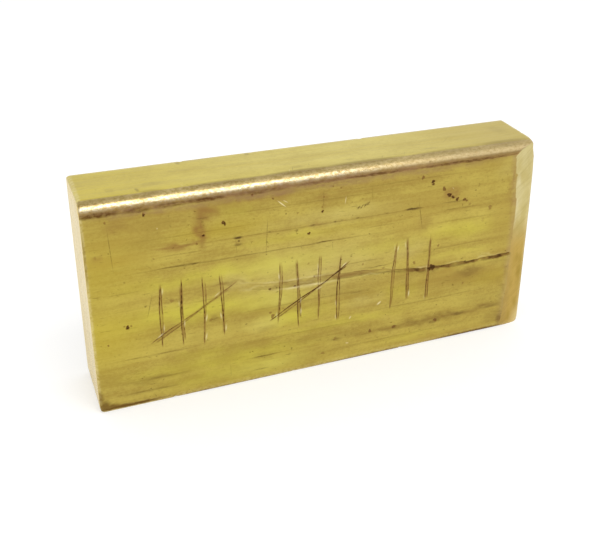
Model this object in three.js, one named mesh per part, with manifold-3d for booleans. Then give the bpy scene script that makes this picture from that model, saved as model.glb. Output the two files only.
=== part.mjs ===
// A hand-kept metal ingot: a short piece sawn off rectangular brass bar. One long edge keeps the bar's
// rolled round, one upright edge has been filed to a broad bevel, and a rolling seam runs along the
// front. Millimetres, +Z up, standing on a long narrow face, with +X along the bar and -Y the front.
import * as THREE from "three";
import { mergeVertices } from "three/addons/utils/BufferGeometryUtils.js";
import Module from "manifold-3d";

const wasm = await Module();
wasm.setup();

// The bar. Its length is measured along the foot of the front face.
const barLength = 112.6;
const barHeight = 50.8;
const barThickness = 19.05;

// Its long edges: one round left by the rolls, and three that were only deburred.
const rolledEdgeRadius = 3.1;
const longArrisRadius = 0.5;

// Its sawn ends, rubbed down at their edges.
const upperCrossArrisRadius = 0.8;
const lowerCrossArrisRadius = 1.2;
const uprightArrisRadius = 0.4;

// How far each end was sawn out of true: at the back edge, and at the top of the right end.
const leftEndBackInset = 0.8;
const rightEndBackOverhang = 2.5;
const rightEndTopInset = 0.5;

// The bevel filed on the right upright edge. The file rocked, so the cut flares towards both ends.
const bevelWidth = 4.6;
const bevelDepth = 0.7;
const bevelFlare = 1.3;

// The rolling seam: a broad shallow fold in the skin on the left, which closes to a tight deep lap and
// stops where the file has cleaned it off. Its heights above the base are spaced evenly along it.
const seamStart = 30;
const seamHeights = [26.3, 24.2, 23.9, 23.3, 21.4, 21.1, 21.3];
const foldWidth = 1.5;
const foldDepth = 0.14;
const lapWidth = 0.8;
const lapDepth = 0.32;
const lapStart = 82;
const closingLength = 16;
const openingLength = 8;
const seamStations = 40;

// Every cutting tool stands this far clear of the face that it cuts.
const toolClearance = 2;

const arcSegments = { rolledEdge: 6, arris: 3, bevel: 24 };

const front = 0;
const back = barThickness;

// ---- Geometry helpers ----

function solidFrom(geometry) {
  const bare = geometry.clone();
  bare.deleteAttribute("normal");
  bare.deleteAttribute("uv");
  const merged = mergeVertices(bare, 1e-5);
  return new wasm.Manifold(
    new wasm.Mesh({
      numProp: 3,
      vertProperties: merged.getAttribute("position").array,
      triVerts: new Uint32Array(merged.index.array),
    }),
  );
}

function geometryFrom(solid) {
  const mesh = solid.getMesh();
  const geometry = new THREE.BufferGeometry();
  geometry.setAttribute("position", new THREE.BufferAttribute(mesh.vertProperties, 3));
  geometry.setIndex(new THREE.BufferAttribute(mesh.triVerts, 1));
  return geometry;
}

// A closed outline through the corners, in counter-clockwise order, each rounded to its own radius.
function roundedOutline(corners) {
  const outline = new THREE.Shape();
  corners.forEach(([x, y, radius], i) => {
    const at = new THREE.Vector2(x, y);
    const before = corners.at(i - 1);
    const after = corners[(i + 1) % corners.length];
    const toBefore = new THREE.Vector2(before[0], before[1]).sub(at).normalize();
    const toAfter = new THREE.Vector2(after[0], after[1]).sub(at).normalize();
    const halfAngle = toBefore.angleTo(toAfter) / 2;
    const centre = toBefore.clone().add(toAfter).setLength(radius / Math.sin(halfAngle)).add(at);
    const tangentLength = radius / Math.tan(halfAngle);
    const arcStart = toBefore.multiplyScalar(tangentLength).add(at).sub(centre).angle();
    const arcEnd = toAfter.multiplyScalar(tangentLength).add(at).sub(centre).angle();
    outline.absarc(centre.x, centre.y, radius, arcStart, arcEnd, false);
  });
  outline.closePath();
  return outline;
}

// The outline's prism. Its two axes and its depth are laid along the three given directions, which
// are right-handed, and it starts at the given point.
function prism(outline, depth, curveSegments, along, start = new THREE.Vector3()) {
  const geometry = new THREE.ExtrudeGeometry(outline, { depth, curveSegments, bevelEnabled: false });
  const directions = along.map((direction) => new THREE.Vector3(...direction));
  geometry.applyMatrix4(new THREE.Matrix4().makeBasis(...directions).setPosition(start));
  return solidFrom(geometry);
}

// A closed skin over a row of rings that have the same number of points and run clockwise
// when seen from the row's start.
function loft(rings) {
  const sides = rings[0].length;
  const faces = [];
  for (let ring = 0; ring < rings.length - 1; ring += 1) {
    for (let side = 0; side < sides; side += 1) {
      const near = ring * sides;
      const far = near + sides;
      const next = (side + 1) % sides;
      faces.push(near + side, near + next, far + next, near + side, far + next, far + side);
    }
  }
  const last = (rings.length - 1) * sides;
  for (let side = 1; side < sides - 1; side += 1) {
    faces.push(0, side + 1, side, last, last + side, last + side + 1);
  }
  const geometry = new THREE.BufferGeometry().setFromPoints(rings.flat());
  geometry.setIndex(faces);
  return solidFrom(geometry);
}

// ---- The bar ----

// Thickness along the outline's x, height along its y.
function barSection() {
  return roundedOutline([
    [front, 0, longArrisRadius],
    [back, 0, longArrisRadius],
    [back, barHeight, longArrisRadius],
    [front, barHeight, rolledEdgeRadius],
  ]);
}

// Thickness against the outline's x, length along its y, as seen from above.
function barPlan() {
  return roundedOutline([
    [front, 0, uprightArrisRadius],
    [back, 0, uprightArrisRadius],
    [back, barLength, uprightArrisRadius],
    [front, barLength, uprightArrisRadius],
  ]);
}

// Height along the outline's x, length along its y.
function barElevation() {
  return roundedOutline([
    [0, 0, lowerCrossArrisRadius],
    [barHeight, 0, upperCrossArrisRadius],
    [barHeight, barLength, upperCrossArrisRadius],
    [0, barLength, lowerCrossArrisRadius],
  ]);
}

// The square bar with every edge eased: its section, its plan and its elevation where all three meet.
function squareBar() {
  const section = prism(barSection(), barLength, arcSegments.rolledEdge, [[0, 1, 0], [0, 0, 1], [1, 0, 0]]);
  const plan = prism(
    barPlan(),
    barHeight,
    arcSegments.arris,
    [[0, 1, 0], [1, 0, 0], [0, 0, -1]],
    new THREE.Vector3(0, 0, barHeight),
  );
  const elevation = prism(barElevation(), barThickness, arcSegments.arris, [[0, 0, 1], [1, 0, 0], [0, 1, 0]]);
  return section.intersect(plan).intersect(elevation);
}

// Slides every point along the bar by its share of the two ends' errors, so that each end stays one
// plane, out of true, and the long faces stay as they are.
function sawnOutOfTrue(solid) {
  const geometry = geometryFrom(solid);
  const position = geometry.getAttribute("position");
  for (let i = 0; i < position.count; i += 1) {
    const towardsRight = position.getX(i) / barLength;
    const towardsBack = position.getY(i) / barThickness;
    const towardsTop = position.getZ(i) / barHeight;
    const leftError = leftEndBackInset * towardsBack;
    const rightError = rightEndBackOverhang * towardsBack - rightEndTopInset * towardsTop;
    const slide = THREE.MathUtils.lerp(leftError, rightError, towardsRight);
    position.setX(i, position.getX(i) + slide);
  }
  return solidFrom(geometry);
}

// ---- The bevel ----

// What the file took off: a slab across the edge, with a bowed inner side because the file rocked.
function filedBevel() {
  const slope = Math.atan2(bevelDepth, bevelWidth);
  const bow = bevelFlare * Math.sin(slope);
  const reach = bevelWidth + bevelFlare + toolClearance;
  const slab = new THREE.Shape();
  slab.moveTo(0, toolClearance);
  slab.lineTo(0, -bow);
  slab.quadraticCurveTo(barHeight / 2, bow, barHeight, -bow);
  slab.lineTo(barHeight, toolClearance);
  const outwards = [Math.sin(slope), -Math.cos(slope), 0];
  const acrossBevel = [Math.cos(slope), Math.sin(slope), 0];
  const innerEdge = new THREE.Vector3(barLength - bevelWidth, front, 0);
  const start = innerEdge.addScaledVector(new THREE.Vector3(...acrossBevel), -reach);
  return prism(slab, 2 * reach, arcSegments.bevel, [[0, 0, 1], outwards, acrossBevel], start);
}

// ---- The seam ----

// A V groove along the seam's wandering line. It opens from nothing, is the fold's width and depth,
// and closes to the lap's before the lap starts.
function seamGroove() {
  const { lerp, smoothstep } = THREE.MathUtils;
  const seamStop = barLength - bevelWidth;
  const spacing = (seamStop - seamStart) / (seamHeights.length - 1);
  const line = new THREE.CatmullRomCurve3(
    seamHeights.map((height, i) => new THREE.Vector3(seamStart + spacing * i, front, height)),
  );
  const rings = line.getPoints(seamStations).map(({ x, z }, i) => {
    const opened = Math.max(smoothstep(x, seamStart, seamStart + openingLength), 1 / (i + 2));
    const closed = smoothstep(x, lapStart - closingLength, lapStart);
    const depth = opened * lerp(foldDepth, lapDepth, closed);
    const halfMouth = (opened * lerp(foldWidth, lapWidth, closed)) / 2;
    const halfWidth = halfMouth * (1 + toolClearance / depth);
    return [
      new THREE.Vector3(x, front - toolClearance, z - halfWidth),
      new THREE.Vector3(x, front + depth, z),
      new THREE.Vector3(x, front - toolClearance, z + halfWidth),
    ];
  });
  return loft(rings);
}

// ---- The ingot ----

function ingotGeometry() {
  const solid = sawnOutOfTrue(squareBar()).subtract(filedBevel()).subtract(seamGroove());
  const geometry = geometryFrom(solid).toNonIndexed();
  geometry.computeBoundingBox();
  const middle = geometry.boundingBox.getCenter(new THREE.Vector3());
  geometry.translate(-middle.x, -middle.y, 0);
  geometry.computeVertexNormals();
  return geometry;
}

const brass = new THREE.MeshStandardMaterial({ color: 0xb8a842, roughness: 0.42, metalness: 0.95 });

const ingot = new THREE.Mesh(ingotGeometry(), brass);
ingot.name = "ingot";

const part = new THREE.Group();
part.add(ingot);

export default part;
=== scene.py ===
"""Looks of a hand-kept brass ingot: a sawn and filed length of rolled bar, marked by hand."""

import functools
import math
import random

import bmesh
import bpy
import numpy as np
from mathutils import Matrix, Vector, noise


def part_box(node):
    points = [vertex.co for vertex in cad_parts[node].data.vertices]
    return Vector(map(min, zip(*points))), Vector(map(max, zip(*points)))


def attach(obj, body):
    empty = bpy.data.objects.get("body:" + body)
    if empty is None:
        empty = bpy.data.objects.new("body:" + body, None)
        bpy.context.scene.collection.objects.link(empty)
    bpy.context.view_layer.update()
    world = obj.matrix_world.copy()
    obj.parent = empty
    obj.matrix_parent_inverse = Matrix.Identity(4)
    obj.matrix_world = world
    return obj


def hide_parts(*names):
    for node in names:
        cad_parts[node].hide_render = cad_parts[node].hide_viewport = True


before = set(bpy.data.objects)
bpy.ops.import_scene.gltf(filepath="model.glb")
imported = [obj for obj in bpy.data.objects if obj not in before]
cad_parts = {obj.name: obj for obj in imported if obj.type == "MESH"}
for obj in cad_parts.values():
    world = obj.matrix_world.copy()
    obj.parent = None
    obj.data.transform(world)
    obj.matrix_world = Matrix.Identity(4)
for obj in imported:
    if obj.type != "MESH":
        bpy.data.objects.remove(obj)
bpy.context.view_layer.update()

# The bar is shaped in millimetres from its left front foot: x along it, y from the front face to the
# back, z up. place_in_frame() brings the finished mesh to metres in the row's frame.
MM = 0.001
LOW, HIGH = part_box("ingot")
BAR_LENGTH = 112.6
BAR_THICKNESS = (HIGH.y - LOW.y) / MM
BAR_HEIGHT = (HIGH.z - LOW.z) / MM

ROLLED_EDGE_RADIUS = 3.1
LONG_ARRIS_RADIUS = 0.5
UPRIGHT_ARRIS_RADIUS = 0.4
UPPER_CROSS_ARRIS_RADIUS = 0.8
LOWER_CROSS_ARRIS_RADIUS = 1.2

LEFT_END_BACK_INSET = 0.8
RIGHT_END_BACK_OVERHANG = 2.5
RIGHT_END_TOP_INSET = 0.5

# The filed bevel. The file rocked, so its cut flares towards both ends, and it dug in at the upper
# corner, from BEVEL_CORNER_START up.
BEVEL_WIDTH = 5.1
BEVEL_DEPTH = 0.7
BEVEL_UPPER_FLARE = 1.9
BEVEL_LOWER_FLARE = 0.9
BEVEL_CORNER_DEPTH = 0.55
BEVEL_CORNER_START = 43.0
BEVEL_INNER_EDGE = BAR_LENGTH - BEVEL_WIDTH
BEVEL_SLOPE = math.atan2(BEVEL_DEPTH, BEVEL_WIDTH)

# How far the row's origin lies from the left front foot, along the bar. The left end's outermost point
# just meets the solid's box.
LEFT_SHIFT = LEFT_END_BACK_INSET * UPRIGHT_ARRIS_RADIUS / BAR_THICKNESS - LOW.x / MM

# The two sawn ends: place along the bar, which way is into it, and the pitch and slant of the saw's
# ridges. Then the ridges' and the coarser steps' depth, and the pitch of the finer lines in them.
SAW_CUTS = ((0.0, 1, 0.92, 0.020), (BAR_LENGTH, -1, 1.08, -0.028))
SAW_RIDGE = 0.022
SAW_STEP = 0.03
SAW_PITCH = 0.62

# The rolling seam's heights, evenly spaced from its start to the bevel. It is a broad shallow fold on
# the left, which closes to a tight deep lap on the right.
SEAM_START = 30.0
SEAM_HEIGHTS = (26.3, 24.2, 23.9, 23.3, 21.4, 21.1, 21.3)
FOLD_DEPTH = 0.14
LAP_DEPTH = 0.32
LAP_START = 82.0
CLOSING_LENGTH = 14.0
OPENING_LENGTH = 15.0
SEAM_END_LENGTH = 0.35
FOLD_HALF_WIDTH = 0.62
FOLD_NARROWING = 0.30
LAP_HALF_WIDTH = 0.42

# How the seam wavers up and down: by how much, and how quickly along the bar.
SEAM_WAVERS = ((0.06, 0.9), (0.04, 2.3), (0.015, 5.3))

# Where the fold narrows and roughens and where the lap darkens, each from its start to its full share.
FOLD_NARROWS = (62.0, 76.0)
FOLD_ROUGHENS = (54.0, 60.0)
LAP_DARKENS = (103.0, 106.5)

# Where the fold is darkest and where its lower lip is rubbed and given a painted highlight, each as the
# places where that starts, is full, fades and ends.
FOLD_DARKEST = (56.0, 59.0, 66.0, 71.0)
FOLD_LIP_RUBBED_AND_LIT = (41.0, 46.0, 55.0, 60.0)

# Tally marks cut by hand: two crossed groups and the start of a third.
TALLY_FOOT = 12.4
TALLY_HEAD = 30.6
TALLY_GROUPS = ((15.5, 4, True), (44.0, 4, True), (73.0, 3, False))
TALLY_GAP = 5.1

# Pits in the front face: distance along the bar, height, radius, how deep and dirty.
PITS = (
    (7.9, 20.7, 0.46, 0.8), (7.2, 21.1, 0.24, 0.5), (8.7, 20.9, 0.26, 0.5), (3.3, 17.1, 0.24, 0.6),
    (13.4, 46.6, 0.32, 0.8), (26.2, 39.8, 0.32, 0.8), (24.6, 38.1, 0.28, 0.6), (14.8, 36.2, 0.24, 0.4),
    (30.9, 42.1, 0.46, 0.75), (31.2, 41.6, 0.26, 0.8), (54.7, 41.1, 0.30, 0.9), (54.6, 42.2, 0.22, 0.5),
    (51.3, 36.2, 0.36, 0.75), (48.5, 41.6, 0.26, 0.4), (51.2, 28.5, 0.28, 0.4), (54.1, 47.3, 0.28, 0.5),
    (37.7, 47.6, 0.30, 0.7), (33.9, 47.0, 0.28, 0.7), (5.1, 46.1, 0.28, 0.5), (18.2, 25.3, 0.46, 0.4),
    (42.1, 16.5, 0.50, 0.6), (41.5, 17.5, 0.30, 0.5), (44.7, 18.0, 0.24, 0.4), (27.0, 18.7, 0.40, 0.4),
    (86.7, 42.0, 0.50, 0.65), (88.3, 40.2, 0.56, 0.80), (89.3, 39.5, 0.42, 0.8), (90.6, 38.8, 0.46, 0.75),
    (92.7, 38.4, 0.46, 0.65), (93.4, 38.0, 0.28, 0.6), (94.3, 37.0, 0.34, 0.4), (95.2, 36.4, 0.26, 0.3),
    (83.5, 44.3, 0.44, 0.85), (83.6, 43.6, 0.34, 0.7), (80.7, 45.7, 0.44, 0.6), (79.4, 45.9, 0.26, 0.3),
    (100.3, 35.2, 0.56, 0.45), (98.5, 32.1, 0.50, 0.25), (94.1, 15.3, 0.34, 0.4), (86.1, 27.2, 0.34, 0.5),
    (84.8, 21.5, 0.80, 0.78), (84.0, 21.2, 0.44, 0.8), (79.5, 23.7, 0.40, 0.5), (71.0, 23.8, 0.34, 0.4),
    (67.9, 6.9, 0.46, 0.6), (74.6, 6.7, 0.48, 0.6), (86.6, 6.1, 0.52, 0.6), (58.3, 6.8, 0.46, 0.4),
    (55.1, 3.4, 0.44, 0.4), (73.2, 9.3, 0.26, 0.3), (65.4, 25.8, 0.30, 0.4), (72.6, 2.6, 0.28, 0.3),
    (63.2, 8.4, 0.24, 0.3), (30.7, 17.6, 0.24, 0.3), (104.6, 43.2, 0.26, 0.3), (2.4, 38.6, 0.34, 0.3),
    (41.5, 23.7, 0.30, 0.7), (47.7, 23.3, 0.30, 0.7), (48.6, 23.4, 0.26, 0.6), (52.7, 24.9, 0.28, 0.6),
    (57.4, 46.9, 0.26, 0.6), (59.3, 46.2, 0.24, 0.5), (42.6, 46.0, 0.24, 0.6), (55.0, 44.6, 0.22, 0.5),
)
PIT_SPREAD = 1.18
PIT_DEPTH_SHARE = 0.28

# The whole front is sunk by this much, so that the burrs stand proud of it within the bar's box.
BURR_ROOM = 0.04

# How far into the bar a patch or a line on one of its faces reaches.
FACE_DEPTH = 1.5

# A reach that takes in the whole bar.
EVERYWHERE = 1e4

# Rolling lines deep enough to feel: start, end, height, depth.
FELT_LINES = (
    (0.5, 70.0, 33.4, 0.035), (11.0, 95.0, 38.0, 0.030), (56.0, 107.5, 6.4, 0.045), (1.0, 27.0, 12.5, 0.030),
    (13.0, 97.0, 36.2, 0.020),
)
FELT_LINE_HALF_WIDTH = 0.26
FELT_LINE_FADE = 6.0

# Small dents all over the rolled round: depth, and waves to the millimetre.
DENTS = ((0.013, 0.9), (0.010, 0.35), (0.009, 1.9))

# Slow waves in the rolled skin, the same way.
SKIN_WAVE = (0.018, 0.09)

# The net over the long faces, which is halved near the marks while its edges are about this long. Marks
# reach this far to either side of the seam, and this many radii from a pit. The bevel's net is only
# halved from its start to the right end.
NET_SPACING = 1.2
NET_ROW_HEIGHT = 1.0
NET_SIZES = (1.2, 0.6, 0.3)
SEAM_HALF_REACH = 1.2
PIT_REACH = 1.4
BEVEL_NET_START = 100.0

# Dings in the edges and the rolled round: place, radius, depth.
DINGS = (
    ((17.6, 0.0, 0.0), 0.80, 0.16), ((47.3, 0.0, 0.0), 0.60, 0.12), ((76.8, 0.0, 0.0), 0.70, 0.15),
    ((97.5, 0.0, 0.0), 0.50, 0.10), ((0.0, 0.0, 29.0), 0.60, 0.12), ((0.0, 0.0, 7.0), 0.70, 0.14),
    ((0.0, 0.8, 50.0), 0.90, 0.16), ((13.3, 2.9, 50.8), 0.50, 0.08), ((23.8, 2.6, 50.8), 0.40, 0.07),
    ((47.0, 1.3, 50.2), 0.50, 0.08), ((68.4, 0.4, 49.3), 0.45, 0.06), ((30.6, 0.1, 48.6), 0.40, 0.06),
    ((25.7, BAR_THICKNESS, BAR_HEIGHT), 0.80, 0.16), ((42.6, BAR_THICKNESS, BAR_HEIGHT), 0.60, 0.12),
    ((71.0, BAR_THICKNESS, BAR_HEIGHT), 0.90, 0.18), ((96.0, BAR_THICKNESS, BAR_HEIGHT), 0.60, 0.12),
    ((33.0, BAR_THICKNESS, 0.0), 0.80, 0.15), ((83.0, BAR_THICKNESS, 0.0), 0.70, 0.14),
    ((0.0, BAR_THICKNESS, 36.0), 0.70, 0.14), ((0.0, 11.0, BAR_HEIGHT), 0.60, 0.12),
    ((BAR_LENGTH, BAR_THICKNESS, 18.0), 0.80, 0.16), ((BAR_LENGTH, 8.0, BAR_HEIGHT), 0.60, 0.12),
    ((BAR_LENGTH, 1.2, 50.2), 3.20, 0.50),
)

# Lines that the rolls drew along the front: start, end, height, half width, strength.
ROLLING_LINES = (
    (0.5, 82.0, 33.4, 0.26, 0.46), (12.5, 28.5, 33.5, 0.30, 0.85), (50.0, 59.5, 33.5, 0.28, 0.75),
    (11.0, 95.0, 38.0, 0.26, 0.34), (1.0, 26.0, 12.6, 0.28, 0.50), (14.0, 28.0, 36.3, 0.26, 0.44),
    (84.0, 98.0, 36.3, 0.30, 0.44), (28.0, 84.0, 43.8, 0.24, 0.28), (6.0, 44.0, 40.6, 0.20, 0.28),
    (46.0, 103.0, 45.4, 0.24, 0.28), (2.0, 14.0, 29.1, 0.22, 0.32), (24.0, 74.0, 18.9, 0.26, 0.30),
    (6.0, 24.0, 6.4, 0.40, 0.46), (2.0, 22.0, 3.4, 0.36, 0.38), (34.0, 46.0, 6.2, 0.24, 0.44),
    (50.0, 107.0, 3.9, 0.24, 0.26), (74.0, 107.0, 26.4, 0.24, 0.30), (80.0, 107.0, 33.2, 0.22, 0.26),
    (30.0, 76.0, 10.6, 0.26, 0.24), (60.0, 107.0, 12.6, 0.26, 0.30), (31.0, 58.0, 8.6, 0.20, 0.20),
    (63.0, 85.0, 22.6, 0.22, 0.40), (58.0, 72.0, 26.6, 0.24, 0.40), (60.0, 80.0, 35.2, 0.20, 0.24),
    (20.0, 33.0, 23.9, 0.20, 0.26), (3.0, 12.0, 24.8, 0.18, 0.24), (44.0, 62.0, 47.0, 0.22, 0.26),
)

# Short dark dashes in those lines, the same way.
DASHES = (
    (32.4, 35.5, 38.05, 0.52, 1.00), (33.7, 34.5, 37.2, 0.32, 0.85), (32.6, 35.5, 36.3, 0.42, 0.90),
    (50.8, 53.0, 38.1, 0.32, 0.65), (57.0, 58.2, 38.1, 0.28, 0.55), (58.8, 60.0, 38.2, 0.28, 0.50),
    (62.9, 64.2, 38.1, 0.28, 0.55), (41.0, 42.0, 38.2, 0.32, 0.55),
    (75.0, 81.4, 38.1, 0.46, 0.95), (20.0, 25.5, 33.4, 0.22, 0.55), (84.5, 95.0, 38.3, 0.36, 0.40),
    (62.8, 64.6, 40.7, 0.30, 0.60), (64.4, 66.8, 41.1, 0.30, 0.60), (52.6, 57.2, 33.5, 0.24, 0.75),
    (26.5, 29.0, 18.8, 0.30, 0.45), (61.8, 66.0, 18.6, 0.26, 0.35), (70.0, 72.0, 38.2, 0.26, 0.40),
    (24.0, 28.0, 43.9, 0.26, 0.40), (91.0, 96.0, 6.6, 0.60, 0.45), (84.5, 88.5, 5.9, 0.60, 0.45),
    (73.4, 76.0, 6.6, 0.60, 0.45), (56.8, 60.4, 6.5, 0.60, 0.40), (98.5, 107.0, 6.8, 0.60, 0.28),
    (65.0, 73.5, 24.5, 0.20, 0.60), (36.5, 43.5, 6.2, 0.26, 0.55), (36.0, 41.5, 2.7, 0.22, 0.50),
)

# Brown tarnish on the front: centre along the bar and up it, half length, half height, strength.
STAINS = (
    (56.0, 47.7, 64.0, 1.9, 0.42), (16.0, 47.4, 20.0, 1.0, 0.52), (38.0, 47.4, 9.0, 1.1, 0.55),
    (56.0, 45.6, 64.0, 2.8, 0.12), (43.4, 46.8, 4.4, 1.9, 0.42),
    (44.5, 46.3, 2.6, 2.4, 0.50), (26.6, 45.4, 3.4, 2.8, 0.60), (25.6, 41.8, 1.7, 6.6, 0.70),
    (25.6, 43.4, 3.4, 6.0, 0.30), (7.6, 44.8, 4.2, 2.2, 0.30), (14.0, 47.2, 12.0, 1.2, 0.34),
    (55.0, 44.4, 2.0, 3.4, 0.34), (60.0, 45.6, 4.0, 2.0, 0.26), (83.0, 46.4, 9.0, 1.4, 0.24),
    (21.0, 38.3, 7.6, 0.9, 0.62), (2.4, 38.4, 1.8, 1.2, 0.34), (53.0, 38.2, 3.0, 0.7, 0.26),
    (81.5, 33.6, 3.0, 3.0, 0.28), (34.4, 37.2, 2.0, 1.4, 0.34), (61.0, 28.6, 4.0, 2.4, 0.12),
    (31.0, 27.0, 5.4, 0.7, 0.50), (18.6, 25.4, 2.6, 0.9, 0.30), (52.0, 24.0, 20.0, 1.1, 0.46),
    (88.4, 40.4, 3.2, 1.7, 0.45), (95.6, 18.6, 5.6, 2.0, 0.62), (104.0, 19.6, 6.0, 1.2, 0.26),
    (84.8, 21.4, 2.2, 1.4, 0.50), (80.0, 20.6, 9.0, 1.4, 0.20), (96.0, 15.8, 13.0, 4.0, 0.22),
    (63.5, 18.5, 4.6, 0.9, 0.34),
    (62.0, 19.6, 12.0, 2.0, 0.16), (28.4, 18.7, 2.6, 0.8, 0.34), (40.6, 13.8, 3.0, 1.1, 0.32),
    (24.0, 15.0, 3.0, 2.6, 0.14), (84.0, 6.5, 25.0, 1.3, 0.58), (62.0, 6.9, 9.0, 1.1, 0.30),
    (12.0, 6.3, 8.0, 0.9, 0.38), (11.0, 3.4, 9.0, 0.8, 0.32), (40.0, 6.2, 7.0, 0.8, 0.26),
    (90.0, 6.8, 7.0, 1.0, 0.70), (102.0, 7.0, 6.5, 0.9, 0.74), (72.0, 6.6, 6.0, 0.9, 0.55),
    (104.6, 3.6, 4.6, 2.6, 0.44), (100.0, 9.8, 9.0, 2.6, 0.20), (105.9, 39.0, 1.2, 9.5, 0.34),
    (106.0, 12.0, 1.2, 12.0, 0.28), (56.0, 8.4, 30.0, 1.6, 0.12), (33.0, 16.0, 5.0, 3.0, 0.12),
)

# Cleaner, yellower patches of the front, the same way.
CLEAN_PATCHES = (
    (24.0, 21.6, 30.0, 4.2, 0.72), (40.0, 20.6, 18.0, 3.6, 0.72), (22.0, 29.8, 22.0, 2.8, 0.50),
    (44.0, 29.6, 26.0, 4.0, 0.62), (70.0, 29.4, 18.0, 3.0, 0.34), (92.0, 30.6, 15.0, 3.8, 0.50),
    (35.0, 3.6, 27.0, 3.8, 0.72), (60.0, 11.2, 28.0, 2.0, 0.45), (48.0, 36.0, 24.0, 1.6, 0.30),
    (76.0, 16.4, 8.0, 3.4, 0.34), (78.0, 3.0, 14.0, 1.8, 0.26), (92.0, 24.4, 15.0, 1.4, 0.26),
    (47.0, 15.2, 15.0, 3.8, 0.60), (31.0, 30.0, 9.0, 3.6, 0.60), (26.0, 10.4, 14.0, 1.6, 0.40),
    (30.0, 7.4, 38.0, 3.6, 0.50), (34.0, 44.6, 8.0, 2.6, 0.34),
)

# Duller, browner patches.
DULL_PATCHES = (
    (10.0, 44.6, 24.0, 4.6, 0.38), (78.0, 45.8, 34.0, 3.4, 0.32), (82.0, 39.0, 26.0, 6.0, 0.58),
    (92.0, 17.4, 22.0, 4.4, 0.78), (70.0, 19.6, 9.0, 2.0, 0.45), (98.0, 6.4, 16.0, 2.4, 0.45),
    (87.0, 19.7, 8.0, 1.8, 0.95), (104.5, 15.0, 7.0, 3.4, 0.80), (92.0, 1.2, 24.0, 1.9, 0.70),
    (6.0, 37.2, 15.0, 3.4, 0.85), (6.0, 41.0, 11.0, 2.6, 0.60), (98.0, 46.6, 12.0, 2.0, 0.62),
    (104.5, 22.4, 8.0, 2.8, 0.75), (86.0, 22.8, 6.0, 2.0, 0.50), (58.0, 27.2, 7.0, 2.8, 0.36),
    (78.0, 33.6, 12.0, 2.6, 0.45), (36.0, 12.8, 20.0, 1.4, 0.25), (104.0, 30.0, 7.0, 16.0, 0.50),
    (66.0, 14.6, 12.0, 1.4, 0.25), (44.0, 46.6, 3.6, 2.4, 0.50), (104.0, 3.0, 7.0, 3.0, 0.35),
    (25.5, 42.0, 1.9, 7.0, 0.95), (26.8, 45.6, 3.4, 2.8, 0.85), (19.0, 38.3, 5.4, 1.0, 0.75),
)

# Patches of a purer yellow.
YELLOW_PATCHES = (
    (2.0, 34.0, 20.0, 14.0, 0.36), (2.0, 19.0, 18.0, 14.0, 0.50), (30.0, 40.5, 20.0, 3.6, 0.35),
    (102.0, 15.6, 12.0, 3.4, 0.30),
)

# Paler patches, where handling has dulled the yellow. The broad one over the middle of the front is a
# painted sheen, and some thin ones along the seam are painted highlights on its lips.
PALE_AND_SHEEN_PATCHES = (
    (52.0, 27.0, 32.0, 11.0, 0.30), (58.0, 39.6, 26.0, 3.4, 0.22), (40.0, 3.4, 20.0, 2.8, 0.20),
    (77.0, 27.6, 8.0, 4.2, 0.26), (44.0, 20.6, 13.0, 3.0, 0.24), (104.0, 45.0, 5.0, 4.0, 0.16),
    (68.0, 22.6, 6.0, 0.5, 0.50), (51.0, 22.8, 7.0, 0.6, 0.60), (101.0, 22.3, 6.0, 0.5, 0.30),
    (50.4, 24.1, 8.4, 0.8, 0.60), (37.0, 24.9, 7.0, 0.9, 0.50), (33.0, 27.0, 8.0, 4.4, 0.34),
    (40.0, 15.0, 8.0, 3.0, 0.20), (66.0, 15.6, 8.0, 2.4, 0.26),
)

# Tarnish at corners and along arrises, with a painted contact shadow along the bottom edge: centre,
# reach, strength.
CORNER_TARNISH_AND_SHADOW = (
    ((0.2, 0.0, 3.4), (1.3, 1.5, 3.4), 0.62), ((1.1, 0.0, 1.6), (2.1, 1.5, 2.1), 0.84),
    ((2.6, 0.0, 1.1), (2.8, 1.5, 1.2), 0.84), ((4.8, 0.0, 0.8), (6.4, 1.5, 0.8), 0.85),
    ((6.0, 0.0, 0.75), (13.0, 1.5, 0.55), 1.00),
    ((98.0, 0.0, 0.1), (18.0, 1.5, 0.9), 1.00), ((68.0, 0.0, 0.1), (22.0, 1.5, 0.6), 0.75),
    ((0.1, 0.2, 38.0), (0.6, 1.5, 10.0), 0.45), ((30.0, 0.0, 0.1), (22.0, 1.5, 0.5), 0.60),
    ((106.2, 0.2, 2.4), (1.4, 1.5, 1.6), 0.55), ((14.0, 0.9, 49.8), (1.6, 1.3, 1.1), 0.34),
    ((2.0, 1.0, 50.2), (4.4, 1.2, 1.0), 0.26),
)

# Tarnish caught along the foot of the rolled edge, darkened further as painted shade for the room's dark
# reflection there: start, end, height, half width, strength.
EDGE_TARNISH_AND_DARK_REFLECTION = (
    (-4.0, 11.0, 47.95, 0.85, 1.00), (7.0, 17.0, 47.9, 0.80, 0.80), (13.0, 26.0, 48.0, 0.75, 0.72),
    (20.0, 34.0, 48.1, 0.66, 1.00), (29.0, 50.0, 48.1, 0.60, 0.66), (35.0, 40.0, 47.9, 0.50, 0.50),
    (42.0, 64.0, 48.2, 0.55, 0.52), (56.0, 80.0, 48.25, 0.48, 0.84), (70.0, 114.0, 48.15, 0.46, 0.84),
)
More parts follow.
